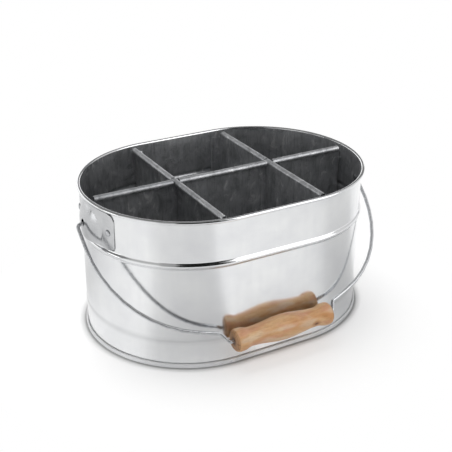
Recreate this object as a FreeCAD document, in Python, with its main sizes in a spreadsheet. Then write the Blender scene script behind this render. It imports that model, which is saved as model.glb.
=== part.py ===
import FreeCAD, Part
import math
import os
import re
import Sketcher

# Oval utensil caddy in thin bright steel sheet: a straight-walled tub with a wired rim, a swaged bead
# and a double-seamed base, five dividers with rolled top edges, two riveted ears, a wire bail and a
# turned wooden grip.  +Z is up, +X runs along the tub and the tub stands on z = 0.  The bail hangs in
# front, on the -Y side, and the origin is under the middle of the whole, so the tub's own middle lies
# a little behind it.  All sizes are in millimetres and degrees.

Vector = FreeCAD.Vector

SIZES = {
    # tub
    "body_length": 242.0,        # over the flat of the wall, end to end
    "body_width": 173.0,         # over the flat of the wall, front to back
    "body_height": 128.0,        # table to the top of the rim
    "sheet_gauge": 0.5,
    "seam_clearance": 0.05,      # between two layers that are rolled or pressed together
    "rim_wire_size": 2.0,
    "rim_curl_angle": 290.0,
    "bead_drop": 36.6,           # from the top of the rim to the middle of the bead
    "bead_rise": 1.5,
    "bead_width": 4.0,
    "foot_bead_level": 24.0,
    "foot_bead_rise": 0.3,
    "foot_bead_width": 4.0,
    "seam_height": 3.8,
    "seam_corner": 0.6,
    "floor_level": 3.0,          # underside of the raised floor
    "floor_ledge": 6.0,          # from the wall to the edge of the floor plate
    # dividers
    "divider_gauge": 0.5,
    "divider_drop": 1.0,         # from the top of the rim to the top of the dividers
    "divider_clearance": 0.1,
    "roll_size": 5.2,
    "roll_angle": 300.0,
    "roll_setback": 4.5,         # from the wall to the open end of a roll
    "roll_gap": 6.0,             # notch in the long roll where a cross roll passes
    "notch_depth": 5.7,
    "cell_place": 44.5,          # from the middle of the tub to a cross roll
    "flange_width": 7.0,         # against the wall
    "seam_flange": 3.0,          # of a cross divider against the long one
    "flange_drop": 6.2,          # from the top of the dividers to the top of their flanges
    "flange_bend": 0.6,
    "front_roll_reach": 3.0,     # a front roll runs this far past the long divider's middle
    "rear_roll_start": 4.0,
    # ears
    "ear_gauge": 0.8,
    "ear_width": 69.0,
    "ear_height": 30.7,
    "ear_drop": 3.6,             # from the top of the rim to the top of an ear
    "ear_low_corner": 3.0,
    "ear_high_corner": 7.0,
    "pocket_drop": 24.0,         # from the top of the rim to the middle of an ear's raised pocket
    "pocket_rise": 5.2,          # from the wall to the top of the pocket
    "pocket_depth": 18.0,        # centre of the pocket's dome behind the wall
    "pocket_half_width": 29.2,
    "pocket_half_height": 33.0,
    "pivot_drop": 22.2,          # from the top of the rim to the hinge axis
    "pivot_slack": 0.15,         # under the wire, which lies on the bottom of its hole
    "hole_play": 1.2,            # from the hinge axis up to the middle of the hole
    "rivet_drop": 20.5,
    "rivet_angle": 19.0,         # round the end of the tub, from its tip to a rivet
    "rivet_size": 3.0,
    "rivet_head": 5.6,
    "rivet_head_rise": 1.2,
    "rivet_tail": 4.6,
    "rivet_tail_rise": 0.9,
    # bail
    "wire_size": 3.0,
    "bail_reach": 125.3,         # from the hinge axis to the grip's axis
    "bail_spread": 9.9,          # from the end of the tub out to the bail's widest place
    "bail_widest": 21.5,         # from the hinge axis to the bail's widest place
    "side_turn": 21.5,
    "approach_slope": 18.8,
    "approach_run": 15.7,
    "kink_radius": 3.5,
    "kink_slope": 62.0,
    "kink_run": 6.4,
    "elbow_radius": 3.4,
    "pivot_leg": 2.6,
    "tail_radius": 2.0,
    "tail_length": 2.0,
    # grip
    "grip_length": 90.0,
    "grip_belly": 20.8,
    "grip_waist": 15.4,
    "grip_waist_place": 30.5,
    "grip_bulge": 18.8,
    "grip_bulge_place": 39.5,
    "grip_edge": 3.5,
    "grip_end_play": 1.3,
    "bore_slack": 0.15,
    "rest_gap": 0.1,             # from the grip to the foot bead that it hangs against
}

doc = FreeCAD.newDocument("utensil_caddy")
sizes = doc.addObject("Spreadsheet::Sheet", "sizes")
for row, (alias, number) in enumerate(SIZES.items(), 1):
    sizes.set("A%d" % row, alias)
    sizes.set("B%d" % row, str(number))
    sizes.setAlias("B%d" % row, alias)
doc.recompute()


# ---------------------------------------------------------------- binding to the sheet

def bound(text):
    """The expression with each size's name written as a cell of the sheet."""
    return re.sub(r"[a-z_]+", lambda word: "sizes." + word[0] if word[0] in SIZES else word[0], text)


def value(text):
    """The number that an expression gives."""
    number = sizes.evalExpression(bound(text))
    return float(getattr(number, "Value", number))


def add(kind, name, **properties):
    """A document object whose text properties are bound to the sheet and whose others are set."""
    item = doc.addObject(kind, name)
    for key, setting in properties.items():
        if isinstance(setting, str) and not item.getEnumerationsOfProperty(key):
            item.setExpression(key, bound(setting))
        else:
            setattr(item, key, setting)
    return item


def place(item, x="0", y="0", z="0", axis=Vector(0, 0, 1), angle="0"):
    item.Placement = FreeCAD.Placement(Vector(), FreeCAD.Rotation(axis, 1.0))
    item.setExpression("Placement.Base.x", bound(x))
    item.setExpression("Placement.Base.y", bound(y))
    item.setExpression("Placement.Base.z", bound(z))
    item.setExpression("Placement.Rotation.Angle", bound(angle))
    return item


# ---------------------------------------------------------------- drawing and solids

PLANES = {
    "XY": FreeCAD.Rotation(),
    "XZ": FreeCAD.Rotation(Vector(1, 0, 0), 90),
    "YZ": FreeCAD.Rotation(Vector(1, 1, 1), 120),
}
X_AXIS, Y_AXIS, Z_AXIS = Vector(1, 0, 0), Vector(0, 1, 0), Vector(0, 0, 1)


def chain(name, plane, start, heading, moves, sketch=None):
    """A sketch of straights and arcs that run on from one another, as sheet and wire are bent.

    ("go", length) draws a straight; ("left", radius, angle) and ("right", radius, angle) draw arcs;
    ("corner", "90") turns a square corner to the left.  The first move is a straight, and heading is
    0, 90, 180 or 270.  Sizes are expressions.
    """
    if sketch is None:
        sketch = doc.addObject("Sketcher::SketchObject", name)
        sketch.Placement = FreeCAD.Placement(Vector(), PLANES[plane])

    def fix(text, kind, *where):
        number = value(text)
        number = math.radians(number) if kind == "Angle" else number
        index = sketch.addConstraint(Sketcher.Constraint(kind, *where, number))
        sketch.setExpression("Constraints[%d]" % index, bound(text))

    point = Vector(value(start[0]), value(start[1]), 0)
    course = math.radians(heading)
    last = None
    joint = "Tangent"
    for move in moves:
        if move[0] == "corner":
            course += math.radians(value(move[1]))
            joint = "Perpendicular"
            continue
        if move[0] == "go":
            end = point + Vector(math.cos(course), math.sin(course), 0) * value(move[1])
            element = sketch.addGeometry(Part.LineSegment(point, end))
            entry, leave = 1, 2
            fix(move[1], "Distance", element)
        else:
            side = 1 if move[0] == "left" else -1
            radius, turn = value(move[1]), math.radians(value(move[2]))
            normal = Vector(-math.sin(course), math.cos(course), 0) * side
            centre = point + normal * radius
            first = math.atan2(-normal.y, -normal.x)
            course += side * turn
            limits = (first, first + turn) if side > 0 else (first - turn, first)
            circle = Part.Circle(centre, Vector(0, 0, 1), radius)
            element = sketch.addGeometry(Part.ArcOfCircle(circle, *limits))
            entry, leave = (1, 2) if side > 0 else (2, 1)
            fix(move[1], "Radius", element)
            fix(move[2], "Angle", element)
            end = centre + Vector(math.sin(course), -math.cos(course), 0) * radius * side
        if last is None:
            level = "Horizontal" if heading % 180 == 0 else "Vertical"
            sketch.addConstraint(Sketcher.Constraint(level, element))
            for text, kind, axis in ((start[0], "DistanceX", -2), (start[1], "DistanceY", -1)):
                if text == "0":
                    sketch.addConstraint(Sketcher.Constraint("PointOnObject", element, 1, axis))
                else:
                    fix(text, kind, -1, 1, element, 1)
        else:
            sketch.addConstraint(Sketcher.Constraint(joint, *last, element, entry))
        last = (element, leave)
        joint = "Tangent"
        point = end
    return sketch


def disc(name, plane, x, y, diameter):
    sketch = doc.addObject("Sketcher::SketchObject", name)
    sketch.Placement = FreeCAD.Placement(Vector(), PLANES[plane])
    centre = Vector(value(x), value(y), 0)
    sketch.addGeometry(Part.Circle(centre, Vector(0, 0, 1), value(diameter) / 2))
    sketch.addConstraint(Sketcher.Constraint("Diameter", 0, value(diameter)))
    sketch.setExpression("Constraints[0]", bound(diameter))
    for text, kind, axis in ((x, "DistanceX", -2), (y, "DistanceY", -1)):
        if text == "0":
            sketch.addConstraint(Sketcher.Constraint("PointOnObject", 0, 3, axis))
        else:
            index = sketch.addConstraint(Sketcher.Constraint(kind, -1, 1, 0, 3, value(text)))
            sketch.setExpression("Constraints[%d]" % index, bound(text))
    return sketch


def sheet_section(name, plane, start, heading, moves, gauge="sheet_gauge"):
    """The section of a bent sheet: its middle line, thickened to the gauge."""
    line = chain(name + "_line", plane, start, heading, moves)
    return add("Part::Offset2D", name + "_section", Source=line, Mode="Pipe", Join="Arc", Fill=True,
               Value=gauge + " / 2")


def sweep(name, section, path):
    doc.recompute()
    edges = ["Edge%d" % (number + 1) for number in range(len(path.Shape.Edges))]
    return add("Part::Sweep", name, Sections=[section], Spine=(path, edges), Solid=True)


def extrude(name, section, direction, length):
    return add("Part::Extrusion", name, Base=section, DirMode="Custom", Dir=direction, Solid=True,
               LengthFwd=length)


def fuse(name, *shapes):
    return add("Part::MultiFuse", name, Shapes=list(shapes), Refine=True)


def cut(name, base, tool):
    return add("Part::Cut", name, Base=base, Tool=tool, Refine=True)


def group(name, *shapes):
    return add("Part::Compound", name, Links=list(shapes))


def mirrored(name, source):
    """The twin of a piece on the other side of the tub's middle."""
    return add("Part::Mirroring", name, Source=source, Normal=X_AXIS)


# ---------------------------------------------------------------- places that several pieces share

STRAIGHT = "((body_length - body_width) / 2)"               # half of the tub's flat front
INNER_RADIUS = "(body_width / 2 - sheet_gauge)"             # inside of the tub's round ends
WALL_LINE = "(body_width / 2 - sheet_gauge / 2)"
FLOOR_TOP = "(floor_level + sheet_gauge)"
CURL_RADIUS = "(rim_wire_size / 2 + seam_clearance + sheet_gauge / 2)"
CURL_LEVEL = "(body_height - rim_wire_size / 2 - seam_clearance - sheet_gauge)"
BEAD_LEVEL = "(body_height - bead_drop)"
PIVOT_LEVEL = "(body_height - pivot_drop)"
HOLE_LEVEL = "(%s + hole_play)" % PIVOT_LEVEL
POCKET_LEVEL = "(body_height - pocket_drop)"
RIVET_LEVEL = "(body_height - rivet_drop)"
ROLL_RADIUS = "(roll_size / 2 - divider_gauge / 2)"
DIVIDER_TOP = "(body_height - divider_drop)"
FLANGE_TOP = "(%s - flange_drop)" % DIVIDER_TOP
ROLL_LEVEL = "(%s - roll_size / 2)" % DIVIDER_TOP
EAR_INNER = "(body_width / 2 + seam_clearance)"
EAR_OUTER = "(body_width / 2 + seam_clearance + ear_gauge)"

# the grip hangs in front of the tub, and the curled rim is the tub's rearmost edge
TUB_PLACE = "((foot_bead_rise + grip_belly + rest_gap) / 2 - %s)" % CURL_RADIUS

# the double seam: five layers, each one pitch further out than the one before
PITCH = "(sheet_gauge + seam_clearance)"
FOLD_LOW = "(sheet_gauge / 2 + 2 * %s)" % PITCH
FOLD_HIGH = "(seam_height - sheet_gauge / 2 - %s)" % PITCH


def seat(item, y="0"):
    """Move a finished piece back from the tub's own middle to its place in the part."""
    item.setExpression("Placement.Base.y", bound("%s + %s" % (TUB_PLACE, y)))
    return item


def oval(name, radius):
    """An oval round the tub's axis, with its straight halves as long as the tub's."""
    return chain(name, "XY", ("0", radius), 180, [
        ("go", STRAIGHT),
        ("left", radius, "180"),
        ("go", "2 * " + STRAIGHT),
        ("left", radius, "180"),
        ("go", STRAIGHT),
    ])


def bead(rise, width):
    """Three arcs that take a wall out to a rounded bead and back."""
    turn = "(2 * atan(2 * %s / %s))" % (rise, width)
    radius = "%s / 4 / sin(%s)" % (width, turn)
    return [("right", radius, turn), ("left", radius, "2 * " + turn), ("right", radius, turn)]


tub_path = oval("tub_path", WALL_LINE)


# ---------------------------------------------------------------- tub

def rivet_places(name, make):
    """make(name) once for each rivet of the right ear, turned to its place round the tub's end."""
    items = []
    for word, sign in (("front", "-"), ("rear", "")):
        item = group("%s_%s" % (name, word), make("%s_%s_blank" % (name, word)))
        items.append(place(item, x=STRAIGHT, z=RIVET_LEVEL, angle=sign + "rivet_angle"))
    return group(name, *items)


def rivet_hole(name):
    hole = add("Part::Cylinder", name, Radius="rivet_size / 2 + seam_clearance", Height="body_width / 4")
    return place(hole, x="body_width * 3 / 8", axis=Y_AXIS, angle="90")


rivet_holes = rivet_places("rivet_holes", rivet_hole)
left_rivet_holes = mirrored("left_rivet_holes", rivet_holes)


def make_tub_wall():
    start = ("body_width / 2 + 2 * seam_clearance + 1.5 * sheet_gauge", FOLD_HIGH)
    section = sheet_section("tub_wall", "YZ", start, 270, [
        ("go", "%s - %s" % (FOLD_HIGH, FOLD_LOW)),
        ("right", PITCH, "180"),
        ("go", "foot_bead_level - foot_bead_width / 2 - " + FOLD_LOW),
        *bead("foot_bead_rise", "foot_bead_width"),
        ("go", "%s - bead_width / 2 - foot_bead_level - foot_bead_width / 2" % BEAD_LEVEL),
        *bead("bead_rise", "bead_width"),
        ("go", "%s - %s - bead_width / 2" % (CURL_LEVEL, BEAD_LEVEL)),
        ("right", CURL_RADIUS, "rim_curl_angle"),
    ])
    band = sweep("tub_band", section, tub_path)
    return seat(cut("tub_wall", band, group("wall_holes", rivet_holes, left_rivet_holes)))


def make_rim_wire():
    centre_line = "%s + %s" % (WALL_LINE, CURL_RADIUS)
    section = disc("rim_wire_section", "YZ", centre_line, CURL_LEVEL, "rim_wire_size")
    return seat(sweep("rim_wire", section, tub_path))


def make_base_pan():
    ledge = "(%s - floor_ledge)" % INNER_RADIUS
    chuck_wall = "(body_width / 2 - seam_clearance - 1.5 * sheet_gauge)"
    section = sheet_section("base_pan", "YZ", (ledge, "floor_level + sheet_gauge / 2"), 0, [
        ("go", "%s - seam_corner - %s" % (chuck_wall, ledge)),
        ("right", "seam_corner", "90"),
        ("go", "floor_level - 2 * seam_corner"),
        ("left", "seam_corner", "90"),
        ("go", "4 * %s - 2 * seam_corner" % PITCH),
        ("left", "seam_corner", "90"),
        ("go", "%s - sheet_gauge / 2 - seam_corner" % FOLD_HIGH),
        ("left", PITCH, "180"),
        ("go", "%s - %s" % (FOLD_HIGH, FOLD_LOW)),
    ])
    seam = sweep("base_seam", section, tub_path)
    plate = extrude("floor_plate", oval("floor_outline", ledge), Z_AXIS, "sheet_gauge")
    floor = place(plate, z="floor_level")
    return seat(fuse("base_pan", seam, floor))


# ---------------------------------------------------------------- dividers

FLANGE_LINE = ("(sqrt(pow(%s - divider_clearance; 2) - pow(flange_width / 2 + flange_bend; 2))"
               " - divider_gauge / 2)" % INNER_RADIUS)      # a flat flange against the tub's round end
DIVIDER_FOOT = "(%s + divider_clearance)" % FLOOR_TOP
LONG_WEB = ROLL_RADIUS                                      # the long web stands behind its roll
CROSS_WEB = "(cell_place - %s)" % ROLL_RADIUS
FLANGE_SEAT = "(divider_gauge + divider_clearance)"


def roll_section(name):
    """The rolled top edge of a divider, curling to the left of its web."""
    return sheet_section(name, "YZ", ("0", ROLL_LEVEL + " - 1"), 90, [
        ("go", "1"),
        ("left", ROLL_RADIUS, "roll_angle"),
    ], gauge="divider_gauge")


def make_long_divider():
    tilt = "asin((%s + flange_width / 2) / %s)" % (LONG_WEB, INNER_RADIUS)
    bend = "(90 deg + %s)" % tilt
    corner = "(%s + (%s - %s * sin(%s)) / cos(%s))" % (STRAIGHT, FLANGE_LINE, LONG_WEB, tilt, tilt)
    set_in = "(flange_bend * tan(%s / 2))" % bend
    plan = sheet_section("long_plan", "XY", ("0", LONG_WEB), 0, [
        ("go", "%s - %s" % (corner, set_in)),
        ("left", "flange_bend", bend),
        ("go", "flange_width - " + set_in),
    ], gauge="divider_gauge")
    web = place(extrude("long_web", plan, Z_AXIS, "%s - %s" % (FLANGE_TOP, DIVIDER_FOOT)), z=DIVIDER_FOOT)
    roll_end = "(%s + %s - roll_setback)" % (STRAIGHT, INNER_RADIUS)
    roll = place(extrude("long_roll", roll_section("long_roll"), X_AXIS, roll_end), y=LONG_WEB)
    strip = add("Part::Box", "long_strip", Length=roll_end, Width="divider_gauge",
                Height="%s - %s" % (ROLL_LEVEL, FLANGE_TOP))
    place(strip, y=LONG_WEB + " - divider_gauge / 2", z=FLANGE_TOP)
    notch = add("Part::Box", "roll_notch", Length="roll_gap", Width="2 * roll_size",
                Height="notch_depth + 1")
    place(notch, x="cell_place - roll_gap / 2", y="-roll_size", z=DIVIDER_TOP + " - notch_depth")
    half = cut("long_half", fuse("long_blank", web, strip, roll), notch)
    return seat(fuse("long_divider", half, mirrored("long_other_half", half)))


def make_half_divider(name, centre, roll_start, strip_start, x, y, angle):
    """A cross divider from the long divider to the wall, drawn along X and then turned to its place.

    centre is where the tub's middle line lies along the divider, and the starts lie there too.
    """
    across = "(%s - %s)" % (CROSS_WEB, STRAIGHT)            # from the round end's centre to the web
    tilt = "asin((%s - flange_width / 2) / %s)" % (across, INNER_RADIUS)
    bend = "(90 deg - %s)" % tilt
    corner = "(%s + (%s - %s * sin(%s)) / cos(%s))" % (centre, FLANGE_LINE, across, tilt, tilt)
    set_in = "(flange_bend * tan(%s / 2))" % bend
    plan = sheet_section(name + "_plan", "XY", ("0", "seam_flange"), 270, [
        ("go", "seam_flange - flange_bend"),
        ("left", "flange_bend", "90"),
        ("go", "%s - %s - flange_bend" % (corner, set_in)),
        ("left", "flange_bend", bend),
        ("go", "flange_width - " + set_in),
    ], gauge="divider_gauge")
    web = place(extrude(name + "_web", plan, Z_AXIS, "%s - %s" % (FLANGE_TOP, DIVIDER_FOOT)), z=DIVIDER_FOOT)
    roll_end = "(%s - roll_setback)" % corner
    roll = extrude(name + "_roll", roll_section(name + "_roll"), X_AXIS, "%s - (%s)" % (roll_end, roll_start))
    place(roll, x=roll_start)
    strip = add("Part::Box", name + "_strip", Length="%s - (%s)" % (roll_end, strip_start),
                Width="divider_gauge", Height="%s - %s" % (ROLL_LEVEL, FLANGE_TOP))
    place(strip, x=strip_start, y="-divider_gauge / 2", z=FLANGE_TOP)
    return seat(place(fuse(name, web, strip, roll), x=x, angle=angle), y)


def make_cross_dividers():
    front_seat = "(%s - %s)" % (LONG_WEB, FLANGE_SEAT)
    front = make_half_divider("front_left_divider", front_seat, front_seat + " - front_roll_reach", "0",
                              "-" + CROSS_WEB, front_seat, "-90")
    rear_seat = "(%s + %s)" % (LONG_WEB, FLANGE_SEAT)
    rear_start = "rear_roll_start - " + rear_seat
    rear = make_half_divider("rear_right_divider", "-" + rear_seat, rear_start, rear_start,
                             CROSS_WEB, rear_seat, "90")
    return [front, mirrored("front_right_divider", front), mirrored("rear_left_divider", rear), rear]


# ---------------------------------------------------------------- ears and rivets

def pocket(name, inset):
    """The dome of an ear's pocket, or its inside when inset by the gauge, with its seam turned inwards."""
    dome = add("Part::Ellipsoid", name, Radius1="pocket_half_height - " + inset,
               Radius2="pocket_rise + pocket_depth - " + inset, Radius3="pocket_half_width - " + inset)
    return place(dome, x="body_length / 2 - pocket_depth", z=POCKET_LEVEL, angle="180")


def end_cylinder(name, radius):
    item = add("Part::Cylinder", name, Radius=radius, Height="body_height")
    return place(item, x=STRAIGHT)


def make_right_ear():
    half, tall = "(ear_width / 2)", "(ear_height - ear_low_corner - ear_high_corner)"
    outline = chain("ear_outline", "YZ", ("0", "body_height - ear_drop - ear_height"), 0, [
        ("go", half + " - ear_low_corner"),
        ("left", "ear_low_corner", "90"),
        ("go", tall),
        ("left", "ear_high_corner", "90"),
        ("go", "ear_width - 2 * ear_high_corner"),
        ("left", "ear_high_corner", "90"),
        ("go", tall),
        ("left", "ear_low_corner", "90"),
        ("go", half + " - ear_low_corner"),
    ])
    blank = extrude("ear_blank", outline, X_AXIS, "body_length")
    outside = fuse("ear_outside", end_cylinder("ear_bend", EAR_OUTER), pocket("pocket_outside", "0"))
    inside = fuse("ear_inside", end_cylinder("ear_hollow", EAR_INNER), pocket("pocket_inside", "ear_gauge"))
    pressed = add("Part::Common", "ear_pressed", Base=blank, Tool=cut("ear_shell", outside, inside))
    hole = add("Part::Cylinder", "pivot_hole", Radius="wire_size / 2 + pivot_slack + hole_play",
               Height="pocket_rise * 2")
    place(hole, x="body_length / 2", z=HOLE_LEVEL, axis=Y_AXIS, angle="90")
    return seat(cut("right_ear", pressed, group("ear_holes", hole, rivet_holes)))


def rivet(name):
    """A round-head rivet along X: its head outside the ear, its spread tail inside the wall."""
    tail_level = "(%s - seam_clearance - rivet_tail_rise)" % INNER_RADIUS
    head_level = "(%s + seam_clearance)" % EAR_OUTER
    shank = add("Part::Cylinder", name + "_shank", Radius="rivet_size / 2",
                Height="%s - %s" % (head_level, tail_level))
    tail = add("Part::Cylinder", name + "_tail", Radius="rivet_tail / 2", Height="rivet_tail_rise")
    head = add("Part::Ellipsoid", name + "_head", Radius1="rivet_head_rise", Radius2="rivet_head / 2",
               Radius3="rivet_head / 2", Angle1="0")
    for item, level in ((shank, tail_level), (tail, tail_level), (head, head_level)):
        place(item, x=level, axis=Y_AXIS, angle="90")
    return fuse(name, shank, tail, head)


# ---------------------------------------------------------------- bail and grip

REST_ANGLE = "asin((body_width / 2 + foot_bead_rise + grip_belly / 2 + rest_gap) / bail_reach)"


def hang(item, out="0"):
    """Turn a piece drawn with the bail upright, hinge axis at the origin, to where it hangs."""
    place(item, z="%s - (%s) * cos(%s)" % (PIVOT_LEVEL, out, REST_ANGLE),
          axis=X_AXIS, angle="180 deg - " + REST_ANGLE)
    return seat(item, "-(%s) * sin(%s)" % (out, REST_ANGLE))


def make_bail_wire():
    """Half of the bail from the middle of the grip to the wire's tail, and its twin.

    The shoulder and side radii are the two that bring the wire to the bail's widest place.
    """
    kink_start = "(grip_length / 2 + grip_end_play)"
    across = ("(body_length / 2 + bail_spread - %s"
              " - kink_radius * (2 * sin(kink_slope) - sin(approach_slope))"
              " - kink_run * cos(kink_slope) - approach_run * cos(approach_slope))" % kink_start)
    down = ("(bail_reach - bail_widest - kink_radius * (1 + cos(approach_slope) - 2 * cos(kink_slope))"
            " - kink_run * sin(kink_slope) - approach_run * sin(approach_slope))")
    shoulder_across = "(cos(side_turn) - sin(approach_slope))"
    shoulder_down = "(cos(approach_slope) - sin(side_turn))"
    side_across, side_down = "(1 - cos(side_turn))", "sin(side_turn)"
    share = "(%s * %s - %s * %s)" % (shoulder_across, side_down, side_across, shoulder_down)
    shoulder = "(%s * %s - %s * %s) / %s" % (across, side_down, down, side_across, share)
    side = "(%s * %s - %s * %s) / %s" % (down, shoulder_across, across, shoulder_down, share)
    path = chain("bail_path", "XZ", ("0", "bail_reach"), 0, [
        ("go", kink_start),
        ("right", "kink_radius", "kink_slope"),
        ("go", "kink_run"),
        ("left", "kink_radius", "kink_slope - approach_slope"),
        ("go", "approach_run"),
        ("right", shoulder, "90 - side_turn - approach_slope"),
        ("right", side, "side_turn"),
        ("go", "bail_widest - elbow_radius"),
        ("right", "elbow_radius", "90"),
        ("go", "pivot_leg"),
        ("right", "tail_radius", "90"),
        ("go", "tail_length"),
    ])
    half = sweep("bail_half", disc("wire_section", "YZ", "0", "bail_reach", "wire_size"), path)
    return hang(fuse("bail_wire", half, mirrored("bail_other_half", half)))


def make_wood_grip():
    """Turned profile: belly, waist and end bulge in tangent arcs, bored through for the wire."""
    belly_drop = "((grip_belly - grip_waist) / 2)"
    belly_turn = "(2 * atan(%s / grip_waist_place))" % belly_drop
    belly_radius = "(grip_waist_place / 2 / sin(%s))" % belly_turn
    bulge_run = "(grip_bulge_place - grip_waist_place)"
    bulge_turn = "(2 * atan((grip_bulge - grip_waist) / 2 / %s))" % bulge_run
    bulge_radius = "(%s / 2 / sin(%s))" % (bulge_run, bulge_turn)
    bore = "(wire_size / 2 + bore_slack)"
    body = doc.addObject("PartDesign::Body", "wood_grip")
    profile = body.newObject("Sketcher::SketchObject", "grip_profile")
    plane = [item for item in body.Origin.OriginFeatures if item.Role == "XZ_Plane"][0]
    profile.AttachmentSupport = [(plane, "")]
    profile.MapMode = "FlatFace"
    half = [
        ("go", "grip_bulge / 2 - grip_edge - " + bore),
        ("left", "grip_edge", "90"),
        ("go", "grip_length / 2 - grip_edge - grip_bulge_place"),
        ("left", bulge_radius, bulge_turn),
        ("right", bulge_radius, bulge_turn),
        ("right", belly_radius, belly_turn),
        ("left", belly_radius, belly_turn),
    ]
    chain("grip_profile", "XZ", ("grip_length / 2", bore), 90,
          half + half[::-1] + [("corner", "90"), ("go", "grip_length")], sketch=profile)
    turned = body.newObject("PartDesign::Revolution", "turned_grip")
    turned.Profile = profile
    turned.ReferenceAxis = (profile, ["H_Axis"])
    turned.Angle = 360
    body.Tip = turned
    return hang(body, "bail_reach")


# ---------------------------------------------------------------- the assembly

right_ear = make_right_ear()
right_rivets = seat(rivet_places("right_ear_rivets", rivet))
nodes = [
    make_tub_wall(),
    make_rim_wire(),
    make_base_pan(),
    make_long_divider(),
    *make_cross_dividers(),
    right_ear,
    mirrored("left_ear", right_ear),
    right_rivets,
    mirrored("left_ear_rivets", right_rivets),
    make_bail_wire(),
    make_wood_grip(),
]
doc.recompute()

for item in doc.Objects:
    if {"Invalid", "Error"} & set(item.State):
        raise RuntimeError("%s did not build: %s" % (item.Name, item.State))
os.makedirs("parts", exist_ok=True)
for item in nodes:
    item.Label = item.Name
    if item.Shape.isNull() or not item.Shape.isValid():
        raise RuntimeError(item.Name + " has no valid shape")
    item.Shape.exportStep("parts/%s.step" % item.Label)
    print("%-22s %d solid(s) %9.1f mm3" % (item.Label, len(item.Shape.Solids), item.Shape.Volume))
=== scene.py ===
# %% [markdown]
# # A utensil caddy in bright tinplate, with a wire bail and a turned wooden grip
#
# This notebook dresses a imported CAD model.  The CAD gives every piece its place and its size, and
# Blender gives each one a surface: smooth bent sheet, drawn wire, pressed ears and oiled wood.
# Everything is in metres, +Z is up, and the bail hangs in front, on the -Y side.

# %% Load the frame
import math

import bmesh
import bpy
from mathutils import Matrix, Vector


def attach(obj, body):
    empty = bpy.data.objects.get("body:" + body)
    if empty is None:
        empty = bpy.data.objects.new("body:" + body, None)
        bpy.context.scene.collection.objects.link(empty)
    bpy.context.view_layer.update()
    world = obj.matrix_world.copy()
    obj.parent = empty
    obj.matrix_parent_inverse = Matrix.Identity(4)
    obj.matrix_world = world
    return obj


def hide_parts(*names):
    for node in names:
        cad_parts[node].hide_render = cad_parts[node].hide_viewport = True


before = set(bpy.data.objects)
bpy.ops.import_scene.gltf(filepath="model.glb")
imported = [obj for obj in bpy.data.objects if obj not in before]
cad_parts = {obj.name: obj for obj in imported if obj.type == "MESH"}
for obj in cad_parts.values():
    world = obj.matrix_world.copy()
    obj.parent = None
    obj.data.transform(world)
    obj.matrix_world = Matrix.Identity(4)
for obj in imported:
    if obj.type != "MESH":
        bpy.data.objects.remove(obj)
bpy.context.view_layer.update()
print("nodes:", sorted(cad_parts))

# %% [markdown]
# ## Sizes
#
# The pieces that are remade below repeat the sizes that the CAD was drawn with.  They are written in
# millimetres, as a workshop drawing has them, and one function brings them to metres.

# %% Sizes in millimetres
def metres(*lengths):
    """Lengths in millimetres, brought to metres."""
    return lengths[0] / 1000 if len(lengths) == 1 else tuple(length / 1000 for length in lengths)


TUB_PLACE = 9.3              # the tub's own middle lies this far behind the origin
STRAIGHT = 34.5              # half of the tub's flat front
WALL_RADIUS = 86.25          # middle of the sheet at the tub's round ends
SHEET = 0.5
CLEARANCE = 0.05             # between two layers that are rolled together
RIM_TOP = 128.0
RIM_WIRE = 2.0
FOOT_BEAD_LEVEL = 24.0
SEAM_TOP = 3.8
FLOOR_TOP = 3.5
BAIL_WIRE = 3.0
HINGE_LEVEL = 105.8
REACH = 125.3                # from the hinge axis to the grip's axis
GRIP_OUT = 97.3              # the grip's axis lies this far in front of the tub's middle
HANG_ANGLE = math.asin(GRIP_OUT / REACH)
GRIP_LEVEL = HINGE_LEVEL - REACH * math.cos(HANG_ANGLE)
print("the tub is", 2 * (STRAIGHT + WALL_RADIUS) + SHEET, "mm long over its wall")

# %% [markdown]
# ## The camera
#
# A camera is an object that looks along its own -Z, with +Y up in the picture.  A long lens from
# about 0.8 m away keeps the oval rim natural, as in a catalogue picture, and a look down of some
# 26 degrees shows both the long wall and the six cells.

# %% Camera
EYE = Vector(metres(-353.1, -617.2, 419.9))
AIM = Vector(metres(2.7, TUB_PLACE, 74.0))
ROLL = math.radians(0.36)


def new_object(name, data):
    """An object that shows data, linked into the scene."""
    made = bpy.data.objects.new(name, data)
    bpy.context.collection.objects.link(made)
    return made


ahead = (AIM - EYE).normalized()
level = ahead.cross(Vector((0, 0, 1))).normalized()
upward = level.cross(ahead)
right = level * math.cos(ROLL) + upward * math.sin(ROLL)
top = upward * math.cos(ROLL) - level * math.sin(ROLL)
camera = new_object("catalogue_camera", bpy.data.cameras.new("catalogue_camera"))
camera.matrix_world = Matrix.Translation(EYE) @ Matrix((right, top, -ahead)).transposed().to_4x4()
camera.data.sensor_width = 36.0
camera.data.lens = 74.2
bpy.context.scene.camera = camera
print("the camera stands", round((AIM - EYE).length, 3), "m away")

# %% [markdown]
# ## One helper for every node
#
# Shaders and Geometry Nodes are both trees of nodes.  One small function adds a node, sets its
# properties, and then fills each named input with a number or links it to another node's output.

# %% Node and colour helpers
def add_node(tree, kind, inputs=None, **settings):
    """A node of one kind, with its settings, and its inputs filled with values or linked to outputs."""
    node = tree.nodes.new(kind)
    for name, setting in settings.items():
        setattr(node, name, setting)
    for name, content in (inputs or {}).items():
        socket = node.inputs[name]
        if isinstance(content, bpy.types.NodeSocket):
            tree.links.new(content, socket)
        else:
            socket.default_value = content
    return node


def colour(code):
    """An sRGB hex code as the opaque linear colour that shaders work with."""
    parts = [int(code[place:place + 2], 16) / 255 for place in (1, 3, 5)]
    linear = [part / 12.92 if part <= 0.04045 else ((part + 0.055) / 1.055) ** 2.4 for part in parts]
    return (*linear, 1.0)


print("tin grey is", [round(part, 3) for part in colour("#d6d8da")])

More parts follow.
